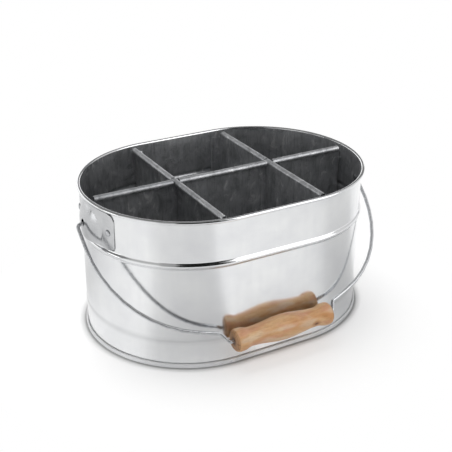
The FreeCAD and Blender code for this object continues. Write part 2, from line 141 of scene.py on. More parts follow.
# %% [markdown]
# ## Grain, layers of colour, and the shader at the end
#
# A finish is a Principled BSDF whose colour, roughness and bump come from noise.  Noise that is
# squeezed along one axis becomes rolling lines; slow noise becomes the clouding that handling leaves.
# All of it reads Object coordinates, so it lies in real millimetres and moves with the piece.

# %% Finish helpers
NOISE_REACH = (0.3, 0.7)           # nearly all of a noise lies between these two


def new_material(name):
    """A material, and its tree with no nodes in it."""
    material = bpy.data.materials.new(name)
    material.use_nodes = True
    material.node_tree.nodes.clear()
    return material, material.node_tree


def new_finish(name):
    """A material, its tree, and the place in metres that its patterns are read from."""
    material, tree = new_material(name)
    return material, tree, add_node(tree, "ShaderNodeTexCoord").outputs["Object"]


def grain(tree, place, size, detail=2.0, roughness=0.5, distortion=0.0, offset=(0, 0, 0)):
    """Noise whose lumps are about size millimetres across along X, Y and Z."""
    mapped = add_node(tree, "ShaderNodeMapping", {
        "Vector": place,
        "Location": offset,
        "Scale": [1000.0 / length for length in size],
    })
    return add_node(tree, "ShaderNodeTexNoise", {
        "Vector": mapped.outputs["Vector"],
        "Scale": 1.0,
        "Detail": detail,
        "Roughness": roughness,
        "Distortion": distortion,
    }).outputs["Fac"]


def laid_over(tree, under, over, pattern, reach=NOISE_REACH, cover=(0.0, 1.0)):
    """One colour laid over another; its cover follows the pattern, from cover[0] where the pattern is
    reach[0] to cover[1] where it is reach[1]."""
    amount = add_node(tree, "ShaderNodeMapRange", {
        "Value": pattern,
        "From Min": reach[0],
        "From Max": reach[1],
        "To Min": cover[0],
        "To Max": cover[1],
    }).outputs["Result"]
    return add_node(tree, "ShaderNodeMix", {0: amount, 6: under, 7: over}, data_type="RGBA").outputs[2]


def softness(tree, *parts):
    """A roughness that adds up its parts, each a noise that goes from a low to a high value."""
    total = None
    for pattern, low, high in parts:
        part = add_node(tree, "ShaderNodeMapRange", {
            "Value": pattern,
            "From Min": NOISE_REACH[0],
            "From Max": NOISE_REACH[1],
            "To Min": low,
            "To Max": high,
        }).outputs["Result"]
        if total is not None:
            part = add_node(tree, "ShaderNodeMath", {0: total, 1: part}, operation="ADD").outputs[0]
        total = part
    return total


def relief(tree, *layers):
    """Bumps laid one over another, each a noise and its depth in millimetres."""
    inputs = {}
    for pattern, depth in layers:
        inputs.update({"Height": pattern, "Distance": metres(depth)})
        inputs["Normal"] = add_node(tree, "ShaderNodeBump", inputs).outputs["Normal"]
    return inputs["Normal"]


def end_finish(tree, surface):
    """Give the finish its shader, with the surface's values and patterns on the shader's own sockets."""
    shader = add_node(tree, "ShaderNodeBsdfPrincipled", surface).outputs["BSDF"]
    add_node(tree, "ShaderNodeOutputMaterial", {"Surface": shader})


print("every noise is read from", NOISE_REACH[0], "to", NOISE_REACH[1])

# %% [markdown]
# ## Bright tinplate
#
# The tub is thin steel sheet with a bright tin coat.  Cold rolling leaves hair-fine lines along the
# strip, so its mirror is a little soft, and pressing and handling leave slow waves and faint clouds.
# The rolling lines are drawn about 0.5 mm apart, coarser than real ones, so that they show.
#
# Inside, where the cutlery goes in and out, the tin is duller, with dark rubbed streaks, stains and
# a few bright patches.  Outside, the foot bead stands proud, and the faint darker line along it is painted
# shade.

# %% Marks of use, and a painted shade line
def rubbed_tone(tree, place, tone, amount):
    """Dark rubs and stains, and bright patches between them, for sheet that sees use."""
    rubs = grain(tree, place, (1.6, 1.6, 22), detail=4, roughness=0.75, distortion=1.2)
    stains = grain(tree, place, (9, 9, 14), detail=4, roughness=0.7, distortion=0.8, offset=(5, 8, 2))
    tone = laid_over(tree, tone, colour("#5c5e60"), rubs, (0.3, 0.5), (amount * 0.8, 0.0))
    tone = laid_over(tree, tone, colour("#6c6e70"), stains, (0.3, 0.5), (amount, 0.0))
    return laid_over(tree, tone, colour("#fafafa"), stains, (0.56, 0.72), (0.0, amount * 1.6))


def paint_bead_shade_line(tree, place, tone, level):
    """Painted shade: a faint darker line along the sheet at one height, gone 4 mm above and below it."""
    height = add_node(tree, "ShaderNodeSeparateXYZ", {"Vector": place}).outputs["Z"]
    above = add_node(tree, "ShaderNodeMath", {0: height, 1: metres(level)}, operation="SUBTRACT").outputs[0]
    away = add_node(tree, "ShaderNodeMath", {0: above}, operation="ABSOLUTE").outputs[0]
    return laid_over(tree, tone, colour("#8e9092"), away, metres(0.6, 4), (0.23, 0.0))


print("the worn line runs", FOOT_BEAD_LEVEL, "mm above the table")

# %% Tinplate
def sheet_metal(name, light, dark, polish, dull, line_depth, wave_depth,
                metallic=1.0, rubbed=0.0, painted_shade=None):
    """Rolled sheet between two tones and two roughnesses, with depths in millimetres for its rolling
    lines and its slow waves; rubbed is how much use it shows, and painted_shade the height of a painted
    shade line."""
    material, tree, place = new_finish(name)
    clouds = grain(tree, place, (38, 38, 30), detail=3, roughness=0.6)
    lines = grain(tree, place, (60, 60, 0.5), detail=4, roughness=0.65)
    streaks = grain(tree, place, (5, 5, 70), detail=3, roughness=0.6, offset=(3, 1, 7))
    waves = grain(tree, place, (55, 55, 70), detail=1)

    tone = laid_over(tree, colour(light), colour(dark), clouds)
    tone = laid_over(tree, tone, colour(dark), streaks, (0.35, 0.75), (0.0, 0.35))
    if rubbed:
        tone = rubbed_tone(tree, place, tone, rubbed)
    # painted shade: a darker line where the foot bead's shading falls
    if painted_shade:
        tone = paint_bead_shade_line(tree, place, tone, painted_shade)

    end_finish(tree, {
        "Base Color": tone,
        "Metallic": metallic,
        "Roughness": softness(tree, (lines, polish, dull), (streaks, 0.0, (dull - polish) * 0.6)),
        "Normal": relief(tree, (waves, wave_depth), (lines, line_depth)),
    })
    return material


tinplate = sheet_metal("bright_rolled_tinplate", "#eceded", "#dfe0e2", polish=0.07, dull=0.16,
                       line_depth=0.0015, wave_depth=0.12, painted_shade=FOOT_BEAD_LEVEL)
inner_tinplate = sheet_metal("dull_inner_tinplate", "#d2d3d5", "#aeb0b3", polish=0.22, dull=0.42,
                             line_depth=0.004, wave_depth=0.3, metallic=0.8, rubbed=0.5)
divider_sheet = sheet_metal("dull_rolled_divider_sheet", "#d2d3d5", "#b0b2b5", polish=0.22, dull=0.42,
                            line_depth=0.004, wave_depth=0.3, metallic=0.8, rubbed=0.5)
seam_tinplate = sheet_metal("rolled_seam_tinplate", "#e6e7e8", "#d6d7d9", polish=0.22, dull=0.34,
                            line_depth=0.003, wave_depth=0.1, metallic=0.85)
# the seam's up-facing top: paler and less metallic, a painted highlight
seam_top_painted_light = sheet_metal("burnished_seam_shoulder", "#f2f2f2", "#e6e7e8", polish=0.34, dull=0.46,
                            line_depth=0.003, wave_depth=0.1, metallic=0.3)
pressed_tinplate = sheet_metal("pressed_ear_tinplate", "#d0d1d2", "#b2b3b5", polish=0.13, dull=0.26,
                               line_depth=0.003, wave_depth=0.12)
print("sheet finishes:", [finish.name for finish in (
    tinplate, inner_tinplate, divider_sheet, seam_tinplate, seam_top_painted_light, pressed_tinplate)])

# %% [markdown]
# ## Drawn wire, rivets and cut edges
#
# The bail is bright wire that was pulled through a die, which leaves fine lines along it, and then
# plated.  The rivets are plated too, a little darker.  Where the ears were sheared after tinning,
# their edge is bare steel, rough and dark, and its dark is also painted shade for the gap between ear and
# wall.

# %% Wire and rivets
LINE_DEPTH = 0.01            # millimetres, of the fine lines that the die leaves


def plated_steel(name, light, dark, polish, dull, metallic=1.0):
    """Steel between two tones and two roughnesses, with a slow mottle and fine lines along X."""
    material, tree, place = new_finish(name)
    mottle = grain(tree, place, (6, 2.5, 2.5), detail=3)
    fine = grain(tree, place, (2.5, 0.3, 0.3), detail=2)
    end_finish(tree, {
        "Base Color": laid_over(tree, colour(light), colour(dark), mottle),
        "Metallic": metallic,
        "Roughness": softness(tree, (fine, polish, dull)),
        "Normal": relief(tree, (fine, LINE_DEPTH)),
    })
    return material


bright_wire = plated_steel("drawn_plated_wire", "#dedfe1", "#c4c6c9", polish=0.2, dull=0.34, metallic=0.85)
rivet_steel = plated_steel("plated_rivet_steel", "#c9cacc", "#aeb0b3", polish=0.2, dull=0.35)
# dark edge finish: bare steel, and painted shade for the gap between ear and wall
bare_edge_and_painted_shade = plated_steel("sheared_bare_steel_edge", "#4a4b4d", "#2f3032", polish=0.45, dull=0.6)
print("wire finishes:", bright_wire.name, rivet_steel.name, bare_edge_and_painted_shade.name)

# %% [markdown]
# ## Turned and oiled hardwood
#
# The grip is turned from a light hardwood.  Its grain runs along the grip, so growth rings cut by the
# lathe show as a flame of long wandering bands, with fine streaks and patches that are flushed or
# pale.  Near the right end sits a small dark knot.  Pores are drawn as dark dashes 4 mm long and
# 0.4 mm wide, coarser than real ones, so that they show.
#
# The ends show end grain: growth rings about 1.4 mm apart and rays, with painted shade that darkens
# the end face towards the bore.

# %% Wood, from the side
GRIP_AXIS = Vector(metres(0, TUB_PLACE - GRIP_OUT, GRIP_LEVEL))
GRIP_HALF = 45.0             # from the grip's middle to its end
KNOT = (27.5, -7.8, -1.6)    # from the grip's middle
KNOT_STRETCH = 1.7           # a knot is this much longer along the grain


def side_wood(tree, centred, pores):
    """The wood along the grip: flame, streaks, flushed and pale patches, pores and the knot."""
    flame = grain(tree, centred, (27, 8, 8), detail=3, roughness=0.55, distortion=0.9)
    streak = grain(tree, centred, (24, 1.9, 1.9), detail=3, roughness=0.6, distortion=0.4)
    flush = grain(tree, centred, (17, 6, 6), detail=2, offset=(4, 2, 9))
    pale = grain(tree, centred, (18, 6, 6), detail=1, offset=(9, 5, 1))
    wood = laid_over(tree, colour("#efc391"), colour("#dc9f66"), flame, (0.35, 0.65))
    wood = laid_over(tree, wood, colour("#bd7c47"), streak, (0.5, 0.72), (0.0, 0.4))
    wood = laid_over(tree, wood, colour("#e3a483"), flush, (0.5, 0.66), (0.0, 0.65))
    wood = laid_over(tree, wood, colour("#f0d6b6"), pale, (0.5, 0.7), (0.0, 0.6))
    wood = laid_over(tree, wood, colour("#96643c"), pores, (0.55, 0.75), (0.0, 0.3))

    stretch = (KNOT_STRETCH, 1, 1)
    from_knot = add_node(tree, "ShaderNodeMapping", {
        "Vector": centred,
        "Location": [-place / length for place, length in zip(KNOT, stretch)],
        "Scale": [1000 / length for length in stretch],
    }).outputs["Vector"]
    knot = add_node(tree, "ShaderNodeVectorMath", {0: from_knot}, operation="LENGTH").outputs["Value"]
    wood = laid_over(tree, wood, colour("#b4713f"), knot, (1.2, 3.2), (0.75, 0.0))
    return flame, laid_over(tree, wood, colour("#70421f"), knot, (0.6, 1.4), (0.85, 0.0))


print("the knot is at", KNOT, "mm from the grip's middle")

# %% Wood, at the ends
RING_RATE = 4600             # radians for each metre of radius, so a ring is about 1.4 mm wide


def end_wood(tree, parts):
    """The end grain: rings round the bore, rays a quarter of a radian wide, and painted shade at the bore.
    """
    across = add_node(tree, "ShaderNodeCombineXYZ", {"Y": parts["Y"], "Z": parts["Z"]}).outputs[0]
    radius = add_node(tree, "ShaderNodeVectorMath", {0: across}, operation="LENGTH").outputs["Value"]
    turn = add_node(tree, "ShaderNodeMath", {0: parts["Z"], 1: parts["Y"]}, operation="ARCTAN2").outputs[0]
    round_bore = add_node(tree, "ShaderNodeCombineXYZ", {"X": turn, "Y": radius}).outputs[0]
    rays = grain(tree, round_bore, (250, 10, 1), detail=2)
    phase = add_node(tree, "ShaderNodeMath", {0: radius, 1: RING_RATE}, operation="MULTIPLY").outputs[0]
    rings = add_node(tree, "ShaderNodeMath", {0: phase}, operation="SINE").outputs[0]
    wood = laid_over(tree, colour("#cb9d70"), colour("#b08058"), rings, (-1, 1))
    wood = laid_over(tree, wood, colour("#6b4327"), rays, (0.56, 0.68), (0.0, 0.8))
    # painted shade: darker towards the bore
    return laid_over(tree, wood, colour("#5d3d28"), radius, metres(2.2, 4.5), (0.85, 0.0))


print("a growth ring is", round(2000 * math.pi / RING_RATE, 2), "mm wide")

# %% The whole wood finish
PORE_DEPTH, FLAME_DEPTH = 0.04, 0.3                      # millimetres of relief
END_REACH = metres(GRIP_HALF - 1.8, GRIP_HALF - 0.8)     # where the end grain sets in, round the rim


def turned_wood(name):
    """Oiled wood with its grain along X, centred on the grip, and end grain on both ends."""
    material, tree, place = new_finish(name)
    centred = add_node(tree, "ShaderNodeVectorMath", {0: place, 1: tuple(GRIP_AXIS)},
                       operation="SUBTRACT").outputs[0]
    parts = add_node(tree, "ShaderNodeSeparateXYZ", {"Vector": centred}).outputs
    from_middle = add_node(tree, "ShaderNodeMath", {0: parts["X"]}, operation="ABSOLUTE").outputs[0]
    pores = grain(tree, centred, (4.0, 0.4, 0.4), detail=2)
    flame, along = side_wood(tree, centred, pores)
    end_finish(tree, {
        "Base Color": laid_over(tree, along, end_wood(tree, parts), from_middle, END_REACH),
        "Roughness": softness(tree, (pores, 0.38, 0.55)),
        "Coat Weight": 0.15,
        "Coat Roughness": 0.3,
        "Normal": relief(tree, (flame, FLAME_DEPTH), (pores, PORE_DEPTH)),
    })
    return material


oiled_wood = turned_wood("turned_oiled_hardwood")
print("wood finish:", oiled_wood.name)

# %% [markdown]
# ## Bending sheet in a drawing
#
# Sheet work is drawn by its section: straights and bends that run on from one another.  This
# function walks along such a course and returns its points, and the next one gives the strip its
# gauge by stepping to both sides.  Sections are drawn with the way out of the tub as x and the
# height as y.

# %% Section helpers
ARC_STEP = math.radians(9)


def bent(start, heading, moves):
    """Points along straights ("go", length) and bends ("left" or "right", radius, degrees)."""
    x, y = start
    course = math.radians(heading)
    points = [(x, y)]
    for move in moves:
        if move[0] == "go":
            x, y = x + move[1] * math.cos(course), y + move[1] * math.sin(course)
            points.append((x, y))
            continue
        side = 1 if move[0] == "left" else -1
        radius, turn = move[1], math.radians(move[2])
        steps = max(2, math.ceil(turn / ARC_STEP))
        cx, cy = x - side * radius * math.sin(course), y + side * radius * math.cos(course)
        for step in range(1, steps + 1):
            now = course + side * turn * step / steps
            points.append((cx + side * radius * math.sin(now), cy - side * radius * math.cos(now)))
        course += side * turn
        x, y = points[-1]
    return points


def strip(line, gauge):
    """The closed outline of a strip of sheet around its middle line."""
    sides = ([], [])
    for place, (x, y) in enumerate(line):
        before = Vector(line[max(place - 1, 0)])
        after = Vector(line[min(place + 1, len(line) - 1)])
        along = (after - before).normalized()
        for side, way in zip(sides, (1, -1)):
            side.append((x - way * along.y * gauge / 2, y + way * along.x * gauge / 2))
    return sides[0] + sides[1][::-1]


print("a 90 degree bend of 2 mm has", len(bent((0, 0), 0, [("left", 2, 90)])), "points")

# %% [markdown]
# ## Sweeping a section round the tub
#
# The wall, its wired rim and the seam at its foot keep one section all the way round an oval.  That
# is what Curve to Mesh does: it carries a profile along a path.  The path starts as a circle and its
# two halves are drawn apart, which leaves the straights between them.  The number of points leaves
# no point on the middle line, so none is torn.

# %% Geometry Nodes: sweep round an oval
def new_tree(name, sizes):
    """A Geometry Nodes tree with a geometry input, named sizes, and a geometry output."""
    tree = bpy.data.node_groups.new(name, "GeometryNodeTree")
    tree.interface.new_socket("Geometry", in_out="INPUT", socket_type="NodeSocketGeometry")
    for size, kind in sizes.items():
        tree.interface.new_socket(size, in_out="INPUT", socket_type=kind)
    tree.interface.new_socket("Geometry", in_out="OUTPUT", socket_type="NodeSocketGeometry")
    return tree, add_node(tree, "NodeGroupInput").outputs


def finish_tree(tree, geometry, material):
    """Realize, paint and put out what a tree has made."""
    real = add_node(tree, "GeometryNodeRealizeInstances", {"Geometry": geometry}).outputs[0]
    painted = add_node(tree, "GeometryNodeSetMaterial", {"Geometry": real, "Material": material}).outputs[0]
    add_node(tree, "NodeGroupOutput", {"Geometry": painted})
    return tree


def oval_sweep():
    """Sweep the section that the object holds round the tub's oval."""
    tree, given = new_tree("sweep_round_the_tub", {
        "Material": "NodeSocketMaterial",
        "Round end radius": "NodeSocketFloat",
        "Half straight": "NodeSocketFloat",
        "Steps": "NodeSocketInt",
    })
    circle = add_node(tree, "GeometryNodeCurvePrimitiveCircle", {
        "Resolution": given["Steps"],
        "Radius": given["Round end radius"],
    }, mode="RADIUS").outputs["Curve"]
    place = add_node(tree, "GeometryNodeInputPosition").outputs[0]
    x_of = add_node(tree, "ShaderNodeSeparateXYZ", {"Vector": place}).outputs["X"]
    side = add_node(tree, "ShaderNodeMath", {0: x_of}, operation="SIGN").outputs[0]
    apart = add_node(tree, "ShaderNodeMath", {0: side, 1: given["Half straight"]}, operation="MULTIPLY")
    move = add_node(tree, "ShaderNodeCombineXYZ", {"X": apart.outputs[0]}).outputs[0]
    oval = add_node(tree, "GeometryNodeSetPosition", {"Geometry": circle, "Offset": move}).outputs[0]
    flat = add_node(tree, "GeometryNodeSetCurveNormal", {"Curve": oval}, mode="Z_UP").outputs[0]
    swept = add_node(tree, "GeometryNodeCurveToMesh", {
        "Curve": flat,
        "Profile Curve": given["Geometry"],
    }).outputs[0]
    return finish_tree(tree, swept, given["Material"])


tub_sweep = oval_sweep()
OVAL = {"Round end radius": metres(WALL_RADIUS), "Half straight": metres(STRAIGHT), "Steps": 250}
print(tub_sweep.name, "takes", [item.name for item in tub_sweep.interface.items_tree])

# %% [markdown]
# ## From a tree to a finished piece
#
# A drawn line goes into a curve object, a tree runs on it as a modifier, and the result is kept as a
# plain mesh.  Its doubles are merged and its faces turned outwards.  It is then shaded smooth, but a
# bend sharper than 40 degrees stays an edge.  Every piece ends the same way: it rides on a body of the
# model and stands for a node.

# %% Piece helpers
SHARP_BEND = 40
TUB = Matrix.Translation(metres(0, TUB_PLACE, 0))


def line_object(name, places, closed=False):
    """A curve object that holds a line through places given in millimetres."""
    curve = bpy.data.curves.new(name, "CURVE")
    curve.dimensions = "3D"
    spline = curve.splines.new("POLY")
    spline.points.add(len(places) - 1)
    for point, place in zip(spline.points, places):
        point.co = (*metres(*place), 1)
    spline.use_cyclic_u = closed
    return new_object(name, curve)


def section_object(name, outline):
    """A curve object that holds a section, with its height turned to match the sweep."""
    return line_object(name, [(out, -height, 0) for out, height in outline], closed=True)


def dressed(name, mesh, sharp=SHARP_BEND):
    """Close a mesh, turn its faces outwards, shade it smooth but for sharp edges, and show it."""
    work = bmesh.new()
    work.from_mesh(mesh)
    bmesh.ops.remove_doubles(work, verts=work.verts, dist=1e-6)
    bmesh.ops.recalc_face_normals(work, faces=work.faces)
    work.to_mesh(mesh)
    work.free()
    mesh.polygons.foreach_set("use_smooth", [True] * len(mesh.polygons))
    mesh.set_sharp_from_angle(angle=math.radians(sharp))
    mesh.name = name
    print(name, "has", len(mesh.polygons), "faces")
    return new_object(name, mesh)


def grow(carrier, tree, settings, place=Matrix()):
    """Run a tree on its carrier and return the result as a plain mesh object, moved to its place."""
    modifier = carrier.modifiers.new(tree.name, "NODES")
    modifier.node_group = tree
    names = {item.name: item.identifier for item in tree.interface.items_tree if item.in_out == "INPUT"}
    for name, setting in settings.items():
        modifier[names[name]] = setting
    graph = bpy.context.evaluated_depsgraph_get()
    mesh = bpy.data.meshes.new_from_object(carrier.evaluated_get(graph), depsgraph=graph)
    name = carrier.name
    carrier.modifiers.remove(modifier)
    bpy.data.objects.remove(carrier)
    mesh.transform(place)
    return dressed(name, mesh)


def round_the_oval(name, outline, finish):
    """A section carried round the tub's oval, in its place."""
    return grow(section_object(name, outline), tub_sweep, {**OVAL, "Material": finish}, TUB)


def fitted(piece, body, node):
    """Let a piece ride on a body and stand for a node."""
    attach(piece, body)
    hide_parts(node)


def way_out(place):
    """The level way from the tub's middle line to a place, square to the wall that it meets."""
    out = place - TUB.translation
    past_straight = max(abs(out.x) - metres(STRAIGHT), 0)
    return Vector((math.copysign(past_straight, out.x), out.y, 0))


print("the tub's middle lies at", [round(length, 4) for length in TUB.translation])

# %% [markdown]
# ## The tub wall
#
# One strip of sheet makes the whole wall.  From the foot up it hooks round the base's flange, runs
# straight past a faint foot bead, swells at the bold bead that stiffens the tub, and curls outwards
# round a wire at the rim.  Each bead is three arcs that leave the wall and return to it.

# %% The wall's section
def bead(rise, width):
    """The three arcs of a bead that stands out by rise over a height of width."""
    turn = 2 * math.degrees(math.atan(2 * rise / width))
    radius = width / 4 / math.sin(math.radians(turn))
    return [("right", radius, turn), ("left", radius, 2 * turn), ("right", radius, turn)]


PITCH = SHEET + CLEARANCE                    # from one layer of the seam to the next
FOLD_LOW = SHEET / 2 + 2 * PITCH
FOLD_HIGH = SEAM_TOP - SHEET / 2 - PITCH
CURL_RADIUS = RIM_WIRE / 2 + CLEARANCE + SHEET / 2
CURL_LEVEL = RIM_TOP - RIM_WIRE / 2 - CLEARANCE - SHEET
CURL_ANGLE = 290
BEAD_RISE, BEAD_WIDTH = 1.35, 6.8            # softer than the CAD model's 1.5 by 4 mm, for a broad gleam
BEAD_LEVEL = 91.4 - 1.6                      # and set this much lower than there
BEAD_FOOT = BEAD_LEVEL - BEAD_WIDTH / 2
FOOT_BEAD_RISE, FOOT_BEAD_WIDTH = 0.35, 6.0  # softer too, where the CAD model has 0.3 by 4 mm

wall_line = bent((2 * PITCH, FOLD_HIGH), 270, [
    ("go", FOLD_HIGH - FOLD_LOW),
    ("right", PITCH, 180),
    ("go", FOOT_BEAD_LEVEL - FOOT_BEAD_WIDTH / 2 - FOLD_LOW),
    *bead(FOOT_BEAD_RISE, FOOT_BEAD_WIDTH),
    ("go", BEAD_FOOT - FOOT_BEAD_LEVEL - FOOT_BEAD_WIDTH / 2),
    *bead(BEAD_RISE, BEAD_WIDTH),
    ("go", CURL_LEVEL - BEAD_LEVEL - BEAD_WIDTH / 2),
    ("right", CURL_RADIUS, CURL_ANGLE),
])
print("the wall's middle line has", len(wall_line), "points")

# %% Tub wall
INNER_SIDE = WALL_RADIUS - SHEET * 0.4       # within this radius a face is on the wall's inner side
SLOPING = 0.2                                # a face looks up or down if its normal leans this much

tub_wall = round_the_oval("tub_wall_sheet", strip(wall_line, SHEET), tinplate)


def lining(mesh, radius, low, high):
    """Give the second finish to the faces that look in at the tub's middle, with the beads' hollows."""
    for face in mesh.polygons:
        out = way_out(face.center)
        inside = out.length < metres(radius)
        hollow = out.length < metres(radius + BEAD_RISE) and face.normal.dot(out) < 0
        if (inside or hollow) and metres(low) < face.center.z < metres(high):
            face.material_index = 1


def soften_under_bead(mesh):
    """Give the third finish to the bead's underside outside, which the swaging roll leaves softer."""
    for face in mesh.polygons:
        under = metres(BEAD_FOOT) < face.center.z < metres(BEAD_LEVEL) and face.normal.z < -SLOPING
        if under and face.material_index == 0:
            face.material_index = 2


tub_wall.data.materials.append(inner_tinplate)
tub_wall.data.materials.append(seam_tinplate)
lining(tub_wall.data, INNER_SIDE, FLOOR_TOP + SHEET, CURL_LEVEL)
soften_under_bead(tub_wall.data)
fitted(tub_wall, "tub", "tub_wall")

# %% [markdown]
# ## The base pan
#
# The base is a shallow pan whose edge is rolled together with the wall's foot in a double seam, five
# layers of sheet in all.  Its floor stands a little above the table.  The rolled edge is swept like
# the wall, and the floor is an oval plate inside it.  The fold's round top, where it looks up, has a
# paler, softer, less metallic finish: a painted highlight along the seam's top.

# %% The seam round the base
LEDGE = 6.0                                  # from the wall to the edge of the floor plate
LEDGE_OUT = -(SHEET / 2 + LEDGE)
BASE_CORNER = 0.6
LINED_OUT = WALL_RADIUS - 1                  # the ledge has the dull inner finish out to this radius
LINED_DOWN = FLOOR_TOP - SHEET * 0.4         # and down to this level, where it bends into the seam

base_line = bent((LEDGE_OUT, FLOOR_TOP - SHEET / 2), 0, [
    ("go", -PITCH - BASE_CORNER - LEDGE_OUT),
    ("right", BASE_CORNER, 90),
    ("go", FLOOR_TOP - SHEET - 2 * BASE_CORNER),
    ("left", BASE_CORNER, 90),
    ("go", 4 * PITCH - 2 * BASE_CORNER),
    ("left", BASE_CORNER, 90),
    ("go", FOLD_HIGH - SHEET / 2 - BASE_CORNER),
    ("left", PITCH, 180),
    ("go", FOLD_HIGH - FOLD_LOW),
])
seam_ring = round_the_oval("base_seam_ring", strip(base_line, SHEET), seam_tinplate)


def paint_light_on_seam_top(mesh):
    """Give the third finish, a painted highlight, to the faces on top of the fold that look up."""
    for face in mesh.polygons:
        if face.center.z > metres(FOLD_HIGH) and face.normal.z > SLOPING:
            face.material_index = 2


seam_ring.data.materials.append(inner_tinplate)
seam_ring.data.materials.append(seam_top_painted_light)
lining(seam_ring.data, LINED_OUT, LINED_DOWN, SEAM_TOP)
paint_light_on_seam_top(seam_ring.data)
fitted(seam_ring, "tub", "base_pan")

# %% The floor of the base
PLATE_STEPS = 248
PLATE_OVERLAP = 0.02                         # the plate reaches this far into the ledge, so no gap shows


def oval_plate(name, radius, low, high):
    """A flat oval plate between two levels."""
    outline = []
    for step in range(PLATE_STEPS):
        angle = 2 * math.pi * (step + 0.5) / PLATE_STEPS
        x = radius * math.cos(angle) + math.copysign(STRAIGHT, math.cos(angle))
        outline.append((x, radius * math.sin(angle) + TUB_PLACE))
    work = bmesh.new()
    for height in (low, high):
        work.faces.new([work.verts.new(metres(x, y, height)) for x, y in outline])
    work.verts.ensure_lookup_table()
    for step in range(PLATE_STEPS):
        after = (step + 1) % PLATE_STEPS
        corners = (step, after, PLATE_STEPS + after, PLATE_STEPS + step)
        work.faces.new([work.verts[place] for place in corners])
    mesh = bpy.data.meshes.new(name)
    work.to_mesh(mesh)
    work.free()
    return dressed(name, mesh)


plate_radius = WALL_RADIUS + LEDGE_OUT + PLATE_OVERLAP
floor_plate = oval_plate("base_floor_plate", plate_radius, FLOOR_TOP - SHEET, FLOOR_TOP)
floor_plate.data.materials.append(inner_tinplate)
fitted(floor_plate, "tub", "base_pan")

# %% [markdown]
# ## The wire inside the rim
#
# The wall's edge is rolled round a plain round wire, which makes the rim stiff and safe to hold.  It
# is a circle swept round the same oval.  The curl hides nearly all of it, and a thin line of it shows
# from below, where the curl stops short of the wall.

# %% Rim wire
WIRE_SIDES = 24


def circle_outline(radius, out, height):
    """The outline of a round wire whose middle lies at out and height."""
    turns = [2 * math.pi * (step + 0.5) / WIRE_SIDES for step in range(WIRE_SIDES)]
    return [(out + radius * math.cos(turn), height + radius * math.sin(turn)) for turn in turns]


rim_outline = circle_outline(RIM_WIRE / 2, CURL_RADIUS, CURL_LEVEL)
rim_wire = round_the_oval("rim_wire_round", rim_outline, bright_wire)
fitted(rim_wire, "tub", "rim_wire")

# %% [markdown]
# ## The wire bail
#
# The bail is one wire that is bent cold in a jig: from the grip it steps out, sweeps round the tub in
# three arcs, and turns through each ear with a short hook behind it.  A path of straights and bends
# is drawn flat, tilted to where the bail hangs, and a round profile is carried along it.

# %% The bail's path
GRIP_EXIT = 46.3                             # the wire runs straight this far from its middle
KINK_RADIUS, KINK_SLOPE, KINK_RUN = 3.5, 62, 6.4         # slopes and turns are in degrees
APPROACH_SLOPE, APPROACH_RUN = 18.8, 15.7
SIDE_TURN = 21.5
SHOULDER_TURN = 90 - SIDE_TURN - APPROACH_SLOPE
SPREAD = 9.9                                 # from the tub's end out to the bail's widest place
WIDEST = 21.5                                # from the hinge axis to the bail's widest place
ELBOW_RADIUS, PIVOT_LEG = 3.4, 2.6
TAIL_RADIUS, TAIL_LENGTH = 2.0, 2.0

approach = bent((0, REACH), 0, [
    ("go", GRIP_EXIT),
    ("right", KINK_RADIUS, KINK_SLOPE),
    ("go", KINK_RUN),
    ("left", KINK_RADIUS, KINK_SLOPE - APPROACH_SLOPE),
    ("go", APPROACH_RUN),
])

# how far a bend of radius 1 would go, and so which two radii bring the wire to its widest place
shoulder_way = bent((0, 0), -APPROACH_SLOPE, [("right", 1, SHOULDER_TURN)])[-1]
side_way = bent((0, 0), SIDE_TURN - 90, [("right", 1, SIDE_TURN)])[-1]
missing = Vector((STRAIGHT + WALL_RADIUS + SHEET / 2 + SPREAD, WIDEST)) - Vector(approach[-1])
shoulder_radius, side_radius = Matrix((shoulder_way, side_way)).transposed().inverted() @ missing

half_bail = approach[:-1] + bent(approach[-1], -APPROACH_SLOPE, [
    ("right", shoulder_radius, SHOULDER_TURN),
    ("right", side_radius, SIDE_TURN),
    ("go", WIDEST - ELBOW_RADIUS),
    ("right", ELBOW_RADIUS, 90),
    ("go", PIVOT_LEG),
    ("right", TAIL_RADIUS, 90),
    ("go", TAIL_LENGTH),
])
flat_bail = [(-x, down) for x, down in half_bail[:0:-1]] + half_bail
bail_path = [(x, TUB_PLACE - down * math.sin(HANG_ANGLE), HINGE_LEVEL - down * math.cos(HANG_ANGLE))
             for x, down in flat_bail]
print("radii:", round(shoulder_radius, 2), "mm at the shoulder,", round(side_radius, 2), "mm at the side")
print("the bail is", round(2 * max(x for x, _ in half_bail) + BAIL_WIRE, 1), "mm wide")

# %% Bail
def round_along(tree, line, radius, sides):
    """A round profile carried along a line, and closed at its ends."""
    profile = add_node(tree, "GeometryNodeCurvePrimitiveCircle", {
        "Resolution": sides,
        "Radius": radius,
    }, mode="RADIUS").outputs["Curve"]
    return add_node(tree, "GeometryNodeCurveToMesh", {
        "Curve": line,
        "Profile Curve": profile,
        "Fill Caps": True,
    }).outputs[0]


def wire_sweep():
    """A round wire along the path that the object holds."""
    tree, given = new_tree("draw_a_wire", {
        "Material": "NodeSocketMaterial",
        "Wire radius": "NodeSocketFloat",
        "Sides": "NodeSocketInt",
    })
    wire = round_along(tree, given["Geometry"], given["Wire radius"], given["Sides"])
    return finish_tree(tree, wire, given["Material"])


bail_wire = grow(line_object("bail_wire_drawn", bail_path), wire_sweep(), {
    "Material": bright_wire,
    "Wire radius": metres(BAIL_WIRE / 2),
    "Sides": WIRE_SIDES,
})
fitted(bail_wire, "bail", "bail_wire")

# %% [markdown]
# ## The turned grip
#
# The grip is turned between centres and bored through for the wire.  A lathe carries one outline
# round an axis, so the same sweep does it, with no straights in the oval.  Belly, waists and end
# bulges are arcs that run into one another, and the rims of both ends are rounded.

